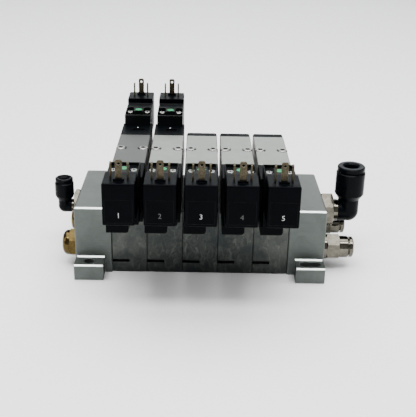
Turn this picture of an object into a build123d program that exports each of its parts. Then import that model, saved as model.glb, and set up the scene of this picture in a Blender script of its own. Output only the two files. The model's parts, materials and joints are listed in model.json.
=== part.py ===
from build123d import *

import os

# A bank of five pneumatic directional valves on a sub-base manifold.
# Millimetres. +Z is up, +X runs along the row of valves, -Y is the side with a solenoid on
# every valve. The origin is on the mounting face, under the middle station.

# Stations
PITCH = 19.0
STATION_COUNT = 5
DOUBLE_COUNT = 2                # the first stations, which have a solenoid at each end
STATION_X = [PITCH * (n - (STATION_COUNT - 1) / 2) for n in range(STATION_COUNT)]
ROW_HALF = PITCH * STATION_COUNT / 2
VALVE_Y = -1.15                 # centre line of the valves
EDGE_BREAK = 0.4

# Manifold modules
MODULE_DEPTH = 55.5
MODULE_FRONT = MODULE_DEPTH / 2
MODULE_TOP = 36.0
BASE_BREAK = 0.8                # chamfer along the bottom edges of the modules
SLOT_LENGTH = 9.3
SLOT_DEPTH = 3.0
SLOT_Z = (5.95, 7.75)
PORT_PITCH = 8.0                # between the five ports under a valve
PORT_R = 1.8
SUPPLY_Z = 27.55                # axis of the supply gallery
SUPPLY_R = 3.6
EXHAUST_Z = 12.35               # axis of the two exhaust galleries
EXHAUST_R = 4.0
EXHAUST_Y = (VALVE_Y - 2 * PORT_PITCH, VALVE_Y + 2 * PORT_PITCH)
GALLERIES = [
    (VALVE_Y, SUPPLY_Z, SUPPLY_R),
    (EXHAUST_Y[0], EXHAUST_Z, EXHAUST_R),
    (EXHAUST_Y[1], EXHAUST_Z, EXHAUST_R),
]
OUTLET_Z = (30.0, 14.6)         # working outlets at the back, upper and lower
OUTLET_DEPTH = 8.0
SIDE_PASSAGE_X = 4.2
SIDE_PASSAGE_R = 1.5
UPPER_PASSAGE_Z = 30.5
LOWER_PASSAGE_Z = 18.6
THREAD_SMALL_R = 4.86           # G1/8
THREAD_LARGE_R = 6.58           # G1/4
THREAD_GAP = 0.02
RING_R = 5.9                    # seals around the galleries
RING_WIRE = 0.65
RING_GAP = 0.05

# Tie rods through the modules
TIE_PLACES = [(-23.5, 29.0), (22.5, 22.3), (VALVE_Y, 6.5)]
TIE_R = 2.0
TIE_HEAD_R = 3.5
TIE_HEAD = 4.0
TIE_REACH = 12.0
TIE_SOCKET = (3.0, 2.2)         # across flats, depth
BOLT_GAP = 0.1

# End plates
PLATE_WIDTH = 19.6
PLATE_OUTER = ROW_HALF + PLATE_WIDTH
PLATE_FRONT = 28.25
PLATE_TOP = 37.85
PLATE_BREAK = 0.8
PORT_DEPTH = 12.0
FOOT_HALF = 38.3
FOOT_TOP = 9.0
FOOT_X = (51.4, 66.8)
FIXING_X = 59.2
FIXING_Y = 33.2
FIXING_R = 2.75
FIXING_SLOT = 11.6

# Valve bodies
GASKET = 0.6
GASKET_HALF = (8.3, 22.5)
BODY_BOTTOM = MODULE_TOP + GASKET
BODY_TOP = 62.25
BODY_WIDTH = 17.2
BODY_HALF = 23.1                # half length
SCREW_X = 6.1
SCREW_R = 1.5
SCREW_HEAD_R = 2.75
SCREW_POCKET_R = 3.0
SCREW_SEAT = 60.4
SCREW_TOP = 62.75
SCREW_TIP = 31.9
SOCKET_AF = 2.5
SOCKET_DEPTH = 1.4
SCREW_ROUND = 1.0               # at the top of a valve screw's head
SCREW_RIM = 0.3                 # chamfer around its pocket
BODY_BREAK = 0.4

# Spools
SPOOL_Z = 48.5
SPOOL_R = 3.6
SPOOL_GAP = 0.08
NECK_R = 2.2
GROOVE_R = 4.2
GROOVE = 4.0
STROKE = 3.0
LAND = 5.0
LAND_CENTRES = (-20.5, -8.0, 8.0, 20.5)
PISTON_R = 5.5
PISTON = 3.5
CHAMBER_END = 31.0
SPRING_POCKET_R = 2.9
SPRING_POCKET = 4.0
SPRING_SEAT = 0.35              # the return spring's clearance to its pocket
SPRING_FLOOR = 1.2
RETURN_SPRING = (6, 2.45, 0.3)  # turns, radius, wire radius
PISTON_GAP = 0.5                # between the piston and the end of its chamber

# Caps at the ends of the valve bodies
CAP_HALF = 8.6
CAP_BOTTOM = 37.85
CAP_END = 44.0
CAP_POCKET = 40.0               # the pilot stands in a pocket from here outwards
LEDGE_HALF = 7.5
LEDGE_Z = (42.35, 51.35)
LEDGE_END = 57.6
LUG_X = (-8.6, 2.6)
LUG_FILLET = 1.6
CAP_RECESS_X = (-4.6, 2.2)      # a shallow recess in the top of the solenoid caps
CAP_RECESS_Y = (-35.0, -29.8)
CAP_RECESS = 1.0
CAP_FILLET = 0.5
BLANK_END = 28.7
BLANK_TOP_FILLET = 1.2
BLANK_FILLET = 0.6
BLANK_WALL = 0.8
BLANK_BORE_END = 25.0            # the spool's last land runs into the blank cap up to here
CAP_SCREW_X = 5.6
CAP_SCREW_Z = 57.6
CAP_SCREW_R = 1.25
CAP_SCREW_HEAD_R = 2.2
CAP_SCREW_HEAD = 1.6
CAP_SCREW_TIP = 15.0
CAP_SCREW_SOCKET = (2.0, 0.9)   # across flats, depth

# Pilot valves and coils
PILOT_HALF = 7.5
PILOT_END = 63.6
PILOT_TOP = 69.25
PILOT_AXIS = 61.2
PILOT_BREAK = 0.4
PILOT_SCREW_X = 5.0
PILOT_SCREW_Y = 49.5
PILOT_SCREW_R = 1.25
PILOT_SCREW_TIP = 44.4
PILOT_TAP_END = 44.0
PILOT_HEAD_R = 2.0
PILOT_HEAD_Z = (66.6, 68.2)
PILOT_HEAD_ROUND = 0.7
PILOT_POCKET_R = 2.2
PILOT_POCKET_Y = 52.4           # centre of the round end of a screw's pocket
DRIVER_CROSS = (2.4, 0.5, 0.9)  # length, width and depth of the cross slots
TRAY_START = 40.6               # a sunken tray at the valve end of the pilot's top
TRAY_FLOOR = 66.9
TRAY_CORNER = 1.2
TRAY_WALL_TOP = 68.6            # the tray's wall at the valve end is lower than the pilot's top
TRAY_WALL_END = 43.4
NICHE_Y = 44.4                  # a round niche in the far side of the tray
NICHE_R = 3.1
NICHE_ROUND = 0.4               # on the corners where the niche meets the screws' pockets
RIB_Y = (60.8, 62.6)            # a low rib across the pilot's top beside the coil
RIB = 0.5
RIB_BREAK = 0.2
OVERRIDE_Y = 50.2
OVERRIDE_R = 2.1
OVERRIDE_BREAK = 0.2
OVERRIDE_BOTTOM = 64.2
OVERRIDE_FLOOR = 60.9
OVERRIDE_TRAVEL = 1.0
OVERRIDE_SLOT = (2.8, 0.6, 0.8)
OVERRIDE_SPRING = (2, 1.6, 0.25)
OVERRIDE_SPRING_SEAT = 0.3      # from the bore's floor to the spring's first turn
OVERRIDE_SPRING_ROOM = 0.8      # both seats, and the wire's own thickness
RUNNING_GAP = 0.06
CHAMBER_R = 4.5
CHAMBER_START = 57.0
NOZZLE_R = 1.2
NOZZLE_BORE = 0.5
NOZZLE_DEPTH = 1.5              # how far the nozzle's bore runs behind the chamber
NOZZLE_GAP = 0.1
PASSAGE_R = 0.8
PASSAGE_Z = 52.6
PASSAGE_Y = 59.0                # the drilling up into the armature's chamber
PASSAGE_TOP = 58.2
ARMATURE_R = 3.42
ARMATURE = (58.3, 69.7)
TUBE_R = 3.85
TUBE_BORE_R = 3.5
TUBE_END = 77.3
TUBE_FLANGE = (61.4, 63.4)
CORE_START = 70.6
CORE_POCKET_R = 1.6
CORE_POCKET_END = 74.0
ARMATURE_SPRING = (3, 1.2, 0.2)
ARMATURE_SEAT = 0.4
COIL_HALF = 7.6
COIL_END = 79.1
COIL_Z = (51.35, 72.1)
COIL_FILLET = 0.8
COIL_PANEL = (6.4, 0.15)        # half width and depth of the marking panel on the outer face
COIL_PANEL_Z = (52.8, 64.2)
FIT_GAP = 0.05
WINDING_R = (4.3, 6.1)
WINDING = (65.4, 77.2)
WINDING_GAP = 0.1

# Contact blades, the 8 mm industrial pattern with an earth blade
BLADE_WIDTH = 3.2
BLADE_THICK = 0.8
BLADE_ROOT = 68.6
BLADE_X = 4.0
BLADE_Y = 71.0
BLADE_TOP = 79.9
EARTH_Y = 73.7
EARTH_TOP = 82.0
BLADE_HOLE_R = 0.7
BLADE_HOLE_DROP = 1.9
BLADE_TIP = 0.9
PLINTH = (5.0, 3.0, 1.0)

# Push-in fittings, distances from the outer face of the end plate
SWIVEL_GAP = 0.06
CORNER_SWELL = 0.1              # the ball at an elbow's corner stands this proud of its tubes
RIGHT_ELBOW = {
    "side": 1, "flats": 17.0, "hex": 6.8, "neck": (6.2, 9.3), "spigot": (4.2, 13.9),
    "start": 9.5, "socket": 14.2, "axis": 15.65, "lower": 5.85, "body": 8.0,
    "cone": (34.95, 38.05), "top": 50.9, "passage": 3.0, "tube": 4.1, "seat": (38.0, 43.0),
    "collet": 5.6, "sleeve": (5.5, 44.5), "flange": (7.6, 51.7, 54.15), "funnel": (4.9, 53.3),
}
LEFT_ELBOW = {
    "side": -1, "flats": 17.0, "hex": 3.1, "neck": (3.7, 4.8), "spigot": (2.3, 7.5),
    "start": 5.0, "socket": 7.8, "axis": 8.9, "lower": 3.65, "body": 5.2,
    "cone": (31.15, 33.95), "top": 41.75, "passage": 1.6, "tube": 2.1, "seat": (33.2, 35.9),
    "collet": 3.4, "sleeve": (3.3, 36.6), "flange": (4.85, 42.35, 44.25), "funnel": (3.7, 42.9),
}
STEM_DEPTH = 11.5
STRAIGHT_STEM = 9.0
STRAIGHT_FLANGE = (6.85, 2.2)
STRAIGHT_FLATS = 13.0
STRAIGHT_HEX = 9.3
STRAIGHT_BODY = (6.0, 14.2)
STRAIGHT_RING = (5.75, 14.9, 17.0)
STRAIGHT_SLEEVE = (4.5, 9.1)
STRAIGHT_TUBE_R = 3.1
STRAIGHT_PASSAGE_R = 2.6
STRAIGHT_SEAT = (5.0, 8.4)
STRAIGHT_COLLET_R = 4.6
STRAIGHT_FUNNEL = (3.9, 16.2)
SILENCER_FLATS = 14.0
SILENCER_HEX = 4.4
SILENCER_DOME = (6.9, 8.1)

os.makedirs("parts", exist_ok=True)


def block(x_span, y_span, z_span, mode=Mode.ADD):
    """A box between the two limits on each axis."""
    centre = ((x_span[0] + x_span[1]) / 2, (y_span[0] + y_span[1]) / 2)
    with BuildSketch(Plane.XY.offset(z_span[0])) as section:
        with Locations(centre):
            Rectangle(x_span[1] - x_span[0], y_span[1] - y_span[0])
    extrude(section.sketch, amount=z_span[1] - z_span[0], mode=mode)


def rod_x(radius, start, end, y, z, mode=Mode.ADD):
    """A cylinder along +X."""
    with BuildSketch(Plane.YZ.offset(start)) as section:
        with Locations((y, z)):
            Circle(radius)
    extrude(section.sketch, amount=end - start, mode=mode)


def rod_y(radius, start, end, x, z, mode=Mode.ADD):
    """A cylinder along -Y; start and end are distances towards -Y."""
    with BuildSketch(Plane.XZ.offset(start)) as section:
        with Locations((x, z)):
            Circle(radius)
    extrude(section.sketch, amount=end - start, mode=mode)


def rod_z(radius, start, end, x, y, mode=Mode.ADD):
    """A cylinder along +Z."""
    with BuildSketch(Plane.XY.offset(start)) as section:
        with Locations((x, y)):
            Circle(radius)
    extrude(section.sketch, amount=end - start, mode=mode)


def turned_x(profile, y, z, mode=Mode.ADD):
    """A turned piece about an X axis, from a profile of (x, radius) points."""
    with BuildSketch(Plane(origin=(0, y, z), x_dir=(1, 0, 0), z_dir=(0, -1, 0))) as section:
        Polygon(*profile, align=None)
    revolve(section.sketch, axis=Axis((0, y, z), (1, 0, 0)), mode=mode)


def turned_y(profile, x, z, mode=Mode.ADD):
    """A turned piece about a Y axis, from (distance towards -Y, radius) points."""
    with BuildSketch(Plane(origin=(x, 0, z), x_dir=(0, -1, 0), z_dir=(-1, 0, 0))) as section:
        Polygon(*profile, align=None)
    revolve(section.sketch, axis=Axis((x, 0, z), (0, 1, 0)), mode=mode)


def turned_z(profile, x, y, mode=Mode.ADD):
    """A turned piece about a Z axis, from a profile of (radius, z) points."""
    with BuildSketch(Plane(origin=(x, y, 0), x_dir=(1, 0, 0), z_dir=(0, -1, 0))) as section:
        Polygon(*profile, align=None)
    revolve(section.sketch, axis=Axis((x, y, 0), (0, 0, 1)), mode=mode)


def save(builder, label):
    """Label a finished piece and write its STEP file."""
    builder.part.label = label
    export_step(builder.part, f"parts/{label}.step")


def save_copies(master, label, places):
    """One node that holds a copy of the master at each place."""
    with BuildPart() as node:
        with Locations(*places):
            add(master.part)
    save(node, label)


# Places of the valves, and of the solenoids at their front and rear ends
VALVE_PLACES = [Location((x, VALVE_Y, 0)) for x in STATION_X]
FRONT_PLACES = [Location((x, VALVE_Y, 0)) for x in STATION_X]
REAR_PLACES = [Location((x, VALVE_Y, 0), (0, 0, 180)) for x in STATION_X[:DOUBLE_COUNT]]
SOLENOID_PLACES = FRONT_PLACES + REAR_PLACES
SOLENOID_NAMES = [f"front_{n + 1}" for n in range(STATION_COUNT)]
SOLENOID_NAMES += [f"rear_{n + 1}" for n in range(DOUBLE_COUNT)]
BLANK_PLACES = [Location((x, VALVE_Y, 0), (0, 0, 180)) for x in STATION_X[DOUBLE_COUNT:]]


def cut_ring_grooves(face_x):
    """Grooves for the gallery seals in a face that looks towards +X."""
    depth = 2 * RING_WIRE + RING_GAP
    outer = RING_R + RING_WIRE + RING_GAP
    inner = RING_R - RING_WIRE - RING_GAP
    for y, z, _ in GALLERIES:
        with BuildSketch(Plane.YZ.offset(face_x - depth)) as groove:
            with Locations((y, z)):
                Circle(outer)
                Circle(inner, mode=Mode.SUBTRACT)
        extrude(groove.sketch, amount=depth, mode=Mode.SUBTRACT)


# ---------------------------------------------------------------- manifold modules

half_pitch = PITCH / 2
with BuildPart() as module:
    block((-half_pitch, half_pitch), (-MODULE_FRONT, MODULE_FRONT), (0, MODULE_TOP))
    chamfer(module.edges().filter_by(Axis.Z), EDGE_BREAK)
    chamfer(module.faces().sort_by(Axis.Z)[-1].edges().filter_by(Axis.X), EDGE_BREAK)
    chamfer(module.faces().sort_by(Axis.Z)[0].edges().filter_by(Axis.X), BASE_BREAK)
    block(
        (-half_pitch, SLOT_LENGTH - half_pitch),
        (-MODULE_FRONT, SLOT_DEPTH - MODULE_FRONT),
        SLOT_Z,
        mode=Mode.SUBTRACT,
    )
    for y, z, radius in GALLERIES:
        rod_x(radius, -half_pitch, half_pitch, y, z, mode=Mode.SUBTRACT)
    cut_ring_grooves(half_pitch)
    for y, z in TIE_PLACES:
        rod_x(TIE_R + BOLT_GAP, -half_pitch, half_pitch, y, z, mode=Mode.SUBTRACT)
    # supply and exhaust ports under the valve
    rod_z(PORT_R, SUPPLY_Z, MODULE_TOP, 0, VALVE_Y, mode=Mode.SUBTRACT)
    for y in EXHAUST_Y:
        rod_z(PORT_R, EXHAUST_Z, MODULE_TOP, 0, y, mode=Mode.SUBTRACT)
    # working ports, which turn aside of the exhaust drilling on their way to the back
    working = [
        (VALVE_Y + PORT_PITCH, UPPER_PASSAGE_Z, SIDE_PASSAGE_X, OUTLET_Z[0]),
        (VALVE_Y - PORT_PITCH, LOWER_PASSAGE_Z, -SIDE_PASSAGE_X, OUTLET_Z[1]),
    ]
    for port_y, passage_z, side_x, outlet_z in working:
        port_bottom = passage_z - SIDE_PASSAGE_R
        rod_z(PORT_R, port_bottom, MODULE_TOP, 0, port_y, mode=Mode.SUBTRACT)
        rod_x(
            SIDE_PASSAGE_R, min(0, side_x), max(0, side_x), port_y, passage_z, mode=Mode.SUBTRACT
        )
        outlet_floor = OUTLET_DEPTH - MODULE_FRONT
        rod_y(SIDE_PASSAGE_R, outlet_floor, -port_y, side_x, passage_z, mode=Mode.SUBTRACT)
        rod_y(THREAD_SMALL_R, -MODULE_FRONT, outlet_floor, 0, outlet_z, mode=Mode.SUBTRACT)
    for x in (-SCREW_X, SCREW_X):
        rod_z(SCREW_R, SCREW_TIP - BOLT_GAP, MODULE_TOP, x, VALVE_Y, mode=Mode.SUBTRACT)

for number, x in enumerate(STATION_X, 1):
    save_copies(module, f"base_module_{number}", [Location((x, 0, 0))])


# ---------------------------------------------------------------- end plates

def end_plate_blank(side):
    """The block and feet of an end plate, on the given side of the row."""
    x_span = sorted((side * ROW_HALF, side * PLATE_OUTER))
    foot_span = sorted((side * FOOT_X[0], side * FOOT_X[1]))
    with BuildPart() as plate:
        block(x_span, (-PLATE_FRONT, PLATE_FRONT), (0, PLATE_TOP))
        chamfer(plate.faces().sort_by(Axis.Z)[-1].edges(), PLATE_BREAK)
        chamfer(plate.edges().filter_by(Axis.Z), EDGE_BREAK)
        block(foot_span, (-FOOT_HALF, FOOT_HALF), (0, FOOT_TOP))
        at_foot_top = plate.edges().filter_by(Axis.X).group_by(Axis.Z)[1]
        chamfer(at_foot_top, PLATE_BREAK)
        at_foot_bottom = plate.edges().filter_by(Axis.X).group_by(Axis.Z)[0].group_by(Axis.Y)
        chamfer(at_foot_bottom[0] + at_foot_bottom[-1], EDGE_BREAK)
        for y, z, radius in GALLERIES:
            rod_x(radius, *x_span, y, z, mode=Mode.SUBTRACT)
    return plate


def cut_port_threads(side):
    """Threaded mouths of the three galleries in the outer face of an end plate."""
    for (y, z, _), radius in zip(GALLERIES, (THREAD_LARGE_R, THREAD_SMALL_R, THREAD_SMALL_R)):
        span = sorted((side * (PLATE_OUTER - PORT_DEPTH), side * PLATE_OUTER))
        rod_x(radius, *span, y, z, mode=Mode.SUBTRACT)


left_blank = end_plate_blank(-1)
with BuildPart() as left_end_plate:
    add(left_blank.part)
    cut_port_threads(-1)
    cut_ring_grooves(-ROW_HALF)
    for y, z in TIE_PLACES:
        seat = -PLATE_OUTER + TIE_HEAD + BOLT_GAP
        rod_x(TIE_R + BOLT_GAP, -PLATE_OUTER, -ROW_HALF, y, z, mode=Mode.SUBTRACT)
        rod_x(TIE_HEAD_R + BOLT_GAP, -PLATE_OUTER, seat, y, z, mode=Mode.SUBTRACT)
    for y in (-FIXING_Y, FIXING_Y):
        rod_z(FIXING_R, 0, FOOT_TOP, -FIXING_X, y, mode=Mode.SUBTRACT)
save(left_end_plate, "left_end_plate")

right_blank = end_plate_blank(1)
with BuildPart() as right_end_plate:
    add(right_blank.part)
    cut_port_threads(1)
    for y, z in TIE_PLACES:
        rod_x(TIE_R, ROW_HALF, ROW_HALF + TIE_REACH + BOLT_GAP, y, z, mode=Mode.SUBTRACT)
    with BuildSketch(Plane.XY) as slots:
        with Locations((FIXING_X, -FIXING_Y), (FIXING_X, FIXING_Y)):
            SlotOverall(FIXING_SLOT, 2 * FIXING_R)
    extrude(amount=FOOT_TOP, mode=Mode.SUBTRACT)
save(right_end_plate, "right_end_plate")

with BuildPart() as tie_rods:
    for y, z in TIE_PLACES:
        seat = -PLATE_OUTER + TIE_HEAD + BOLT_GAP
        rod_x(TIE_R, seat, ROW_HALF + TIE_REACH, y, z)
        rod_x(TIE_HEAD_R, seat - TIE_HEAD, seat, y, z)
        with BuildSketch(Plane.YZ.offset(seat - TIE_HEAD)) as socket:
            with Locations((y, z)):
                RegularPolygon(TIE_SOCKET[0] / 2, 6, major_radius=False)
        extrude(socket.sketch, amount=TIE_SOCKET[1], mode=Mode.SUBTRACT)
save(tie_rods, "tie_rods")

with BuildPart() as gallery_seals:
    for n in range(STATION_COUNT + 1):
        face_x = -ROW_HALF + n * PITCH
        for y, z, _ in GALLERIES:
            centre = Location((face_x - RING_WIRE - RING_GAP / 2, y, z), (0, 90, 0))
            with Locations(centre):
                Torus(RING_R, RING_WIRE)
save(gallery_seals, "gallery_seals")

with BuildPart() as gasket:
    gasket_x, gasket_y = GASKET_HALF
    block((-gasket_x, gasket_x), (-gasket_y, gasket_y), (MODULE_TOP, BODY_BOTTOM))
    for n in range(-2, 3):
        rod_z(PORT_R, MODULE_TOP, BODY_BOTTOM, 0, n * PORT_PITCH, mode=Mode.SUBTRACT)
    for x in (-SCREW_X, SCREW_X):
        rod_z(SCREW_R + BOLT_GAP, MODULE_TOP, BODY_BOTTOM, x, 0, mode=Mode.SUBTRACT)
save_copies(gasket, "valve_gaskets", VALVE_PLACES)


# ---------------------------------------------------------------- valve bodies and spools

with BuildPart() as valve_body:
    half_width = BODY_WIDTH / 2
    block((-half_width, half_width), (-BODY_HALF, BODY_HALF), (BODY_BOTTOM, BODY_TOP))
    chamfer(valve_body.faces().sort_by(Axis.Z)[-1].edges(), BODY_BREAK)
    rod_y(SPOOL_R, -BODY_HALF, BODY_HALF, 0, SPOOL_Z, mode=Mode.SUBTRACT)
    for n in range(-2, 3):
        y = n * PORT_PITCH
        rod_y(GROOVE_R, -y - GROOVE / 2, -y + GROOVE / 2, 0, SPOOL_Z, mode=Mode.SUBTRACT)
        rod_z(PORT_R, BODY_BOTTOM, SPOOL_Z, 0, y, mode=Mode.SUBTRACT)
    for x in (-SCREW_X, SCREW_X):
        rod_z(SCREW_R + BOLT_GAP, BODY_BOTTOM, BODY_TOP, x, 0, mode=Mode.SUBTRACT)
        rod_z(SCREW_POCKET_R, SCREW_SEAT, BODY_TOP, x, 0, mode=Mode.SUBTRACT)
        turned_z(
            [(0, BODY_TOP - SCREW_RIM), (SCREW_POCKET_R, BODY_TOP - SCREW_RIM),
             (SCREW_POCKET_R + SCREW_RIM, BODY_TOP), (0, BODY_TOP)],
            x, 0, mode=Mode.SUBTRACT,
        )
    for x in (-CAP_SCREW_X, CAP_SCREW_X):
        for start in (-BODY_HALF, CAP_SCREW_TIP):
            end = start + BODY_HALF - CAP_SCREW_TIP
            rod_y(CAP_SCREW_R, start, end, x, CAP_SCREW_Z, mode=Mode.SUBTRACT)

for number, place in enumerate(VALVE_PLACES, 1):
    save_copies(valve_body, f"valve_body_{number}", [place])

with BuildPart() as valve_screw:
    turned_z(
        [(0, SCREW_TIP), (SCREW_R, SCREW_TIP), (SCREW_R, SCREW_SEAT), (SCREW_HEAD_R, SCREW_SEAT),
         (SCREW_HEAD_R, SCREW_TOP), (0, SCREW_TOP)],
        0, 0,
    )
    fillet(valve_screw.faces().sort_by(Axis.Z)[-1].edges(), SCREW_ROUND)
    with BuildSketch(Plane.XY.offset(SCREW_TOP)) as socket:
        RegularPolygon(SOCKET_AF / 2, 6, major_radius=False)
    extrude(amount=-SOCKET_DEPTH, mode=Mode.SUBTRACT)
screw_places = [Location((x + dx, VALVE_Y, 0)) for x in STATION_X for dx in (-SCREW_X, SCREW_X)]
save_copies(valve_screw, "valve_screws", screw_places)


def spool_lands(shift):
    """The four lands, their neck, and the front piston, moved towards +Y by shift."""
    land_r = SPOOL_R - SPOOL_GAP
    for centre in LAND_CENTRES:
        middle = -(centre + shift)
        rod_y(land_r, middle - LAND / 2, middle + LAND / 2, 0, SPOOL_Z)
    first, last = LAND_CENTRES[0] + shift, LAND_CENTRES[-1] + shift
    rod_y(NECK_R, -last, -first, 0, SPOOL_Z)
    front = CHAMBER_END - PISTON_GAP
    rod_y(PISTON_R, front - PISTON, front, 0, SPOOL_Z)
    rod_y(NECK_R, -first, front, 0, SPOOL_Z)


with BuildPart() as single_spool:
    spool_lands(-STROKE / 2)
    spool_end = LAND_CENTRES[-1] - STROKE / 2 + LAND / 2
    pocket_floor = SPRING_POCKET - spool_end
    rod_y(SPRING_POCKET_R, -spool_end, pocket_floor, 0, SPOOL_Z, mode=Mode.SUBTRACT)

with BuildPart() as double_spool:
    spool_lands(-STROKE / 2)
    rear_face = CHAMBER_END - PISTON_GAP - STROKE
    rod_y(NECK_R, -rear_face, -LAND_CENTRES[-1], 0, SPOOL_Z)
    rod_y(PISTON_R, -rear_face, PISTON - rear_face, 0, SPOOL_Z)

for number, place in enumerate(VALVE_PLACES, 1):
    spool = double_spool if number <= DOUBLE_COUNT else single_spool
    save_copies(spool, f"spool_{number}", [place])


def coil_spring(pitch, height, radius, wire):
    """A helical spring that stands on the XY plane."""
    with BuildPart() as spring:
        with BuildLine() as path:
            Helix(pitch, height, radius)
        with BuildSketch(Plane(origin=path.line @ 0, z_dir=path.line % 0)):
            Circle(wire)
        sweep(is_frenet=True)
    return spring


return_seat = spool_end - SPRING_POCKET + SPRING_SEAT
return_length = BLANK_END - SPRING_FLOOR - return_seat
turns, spring_r, wire_r = RETURN_SPRING
return_spring = coil_spring(return_length / turns, return_length, spring_r, wire_r)
for number in range(DOUBLE_COUNT, STATION_COUNT):
    place = Location((STATION_X[number], VALVE_Y + return_seat, SPOOL_Z), (-90, 0, 0))
    save_copies(return_spring, f"return_spring_{number + 1}", [place])


# ---------------------------------------------------------------- end caps

with BuildPart() as solenoid_cap:
    block((-CAP_HALF, CAP_HALF), (-CAP_END, -BODY_HALF), (CAP_BOTTOM, BODY_TOP))
    block((-LEDGE_HALF, LEDGE_HALF), (-LEDGE_END, -CAP_END), LEDGE_Z)
    block(LUG_X, (-LEDGE_END, -CAP_END), (CAP_BOTTOM, LEDGE_Z[0]))
    lug_edges = solenoid_cap.edges().filter_by(Axis.Y).filter_by_position(
        Axis.Y, -LEDGE_END, -CAP_END
    )
    fillet(lug_edges.group_by(Axis.Z)[0].sort_by(Axis.X)[0], LUG_FILLET)
    block(
        (-PILOT_HALF, PILOT_HALF), (-CAP_END, -CAP_POCKET), (LEDGE_Z[1], BODY_TOP),
        mode=Mode.SUBTRACT,
    )
    top_edges = solenoid_cap.faces().sort_by(Axis.Z)[-1].edges().filter_by(Axis.Y)
    outer_edges = top_edges.sort_by(Axis.X)
    fillet([outer_edges[0], outer_edges[-1]], CAP_FILLET)
    rod_y(PISTON_R + SPOOL_GAP, BODY_HALF, CHAMBER_END, 0, SPOOL_Z, mode=Mode.SUBTRACT)
    rod_y(PASSAGE_R, CHAMBER_END, CAP_POCKET, 0, PASSAGE_Z, mode=Mode.SUBTRACT)
    for x in (-CAP_SCREW_X, CAP_SCREW_X):
        seat = CAP_POCKET - CAP_SCREW_HEAD - BOLT_GAP
        rod_y(CAP_SCREW_R + BOLT_GAP, BODY_HALF, CAP_POCKET, x, CAP_SCREW_Z, mode=Mode.SUBTRACT)
        rod_y(
            CAP_SCREW_HEAD_R + BOLT_GAP, seat, CAP_POCKET, x, CAP_SCREW_Z, mode=Mode.SUBTRACT
        )
    for x in (-PILOT_SCREW_X, PILOT_SCREW_X):
        rod_z(PILOT_SCREW_R, PILOT_TAP_END, LEDGE_Z[1], x, -PILOT_SCREW_Y, mode=Mode.SUBTRACT)
    block(CAP_RECESS_X, CAP_RECESS_Y, (BODY_TOP - CAP_RECESS, BODY_TOP), mode=Mode.SUBTRACT)
save_copies(solenoid_cap, "solenoid_end_caps", SOLENOID_PLACES)

with BuildPart() as blank_cap:
    block((-CAP_HALF, CAP_HALF), (-BLANK_END, -BODY_HALF), (CAP_BOTTOM, BODY_TOP))
    fillet(
        blank_cap.faces().sort_by(Axis.Z)[-1].edges().filter_by(Axis.Y), BLANK_TOP_FILLET
    )
    fillet(blank_cap.faces().sort_by(Axis.Y)[0].edges(), BLANK_FILLET)
    rod_y(SPOOL_R, BODY_HALF, BLANK_BORE_END, 0, SPOOL_Z, mode=Mode.SUBTRACT)
    rod_y(SPRING_POCKET_R, BODY_HALF, BLANK_END - BLANK_WALL, 0, SPOOL_Z, mode=Mode.SUBTRACT)
    for x in (-CAP_SCREW_X, CAP_SCREW_X):
        seat = BLANK_END - CAP_SCREW_HEAD - BOLT_GAP
        rod_y(CAP_SCREW_R + BOLT_GAP, BODY_HALF, BLANK_END, x, CAP_SCREW_Z, mode=Mode.SUBTRACT)
        rod_y(
            CAP_SCREW_HEAD_R + BOLT_GAP, seat, BLANK_END, x, CAP_SCREW_Z, mode=Mode.SUBTRACT
        )
save_copies(blank_cap, "blank_end_caps", BLANK_PLACES)


def cap_screw(head_face):
    """A socket screw along Y whose head ends at the given distance."""
    seat = head_face - CAP_SCREW_HEAD
    with BuildPart() as screw:
        rod_y(CAP_SCREW_R, CAP_SCREW_TIP + BOLT_GAP, seat, 0, CAP_SCREW_Z)
        rod_y(CAP_SCREW_HEAD_R, seat, head_face, 0, CAP_SCREW_Z)
        with BuildSketch(Plane.XZ.offset(head_face)) as socket:
            with Locations((0, CAP_SCREW_Z)):
                RegularPolygon(CAP_SCREW_SOCKET[0] / 2, 6, major_radius=False)
        extrude(socket.sketch, amount=-CAP_SCREW_SOCKET[1], mode=Mode.SUBTRACT)
    return screw


def shifted(places, offsets):
    """Each place moved sideways by each offset, in the place's own frame."""
    return [place * Location((dx, 0, 0)) for place in places for dx in offsets]


pocket_screw = cap_screw(CAP_POCKET - BOLT_GAP)
blank_screw = cap_screw(BLANK_END - BOLT_GAP)
with BuildPart() as end_cap_screws:
    with Locations(*shifted(SOLENOID_PLACES, (-CAP_SCREW_X, CAP_SCREW_X))):
        add(pocket_screw.part)
    with Locations(*shifted(BLANK_PLACES, (-CAP_SCREW_X, CAP_SCREW_X))):
        add(blank_screw.part)
save(end_cap_screws, "end_cap_screws")


# ---------------------------------------------------------------- pilot valves

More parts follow.
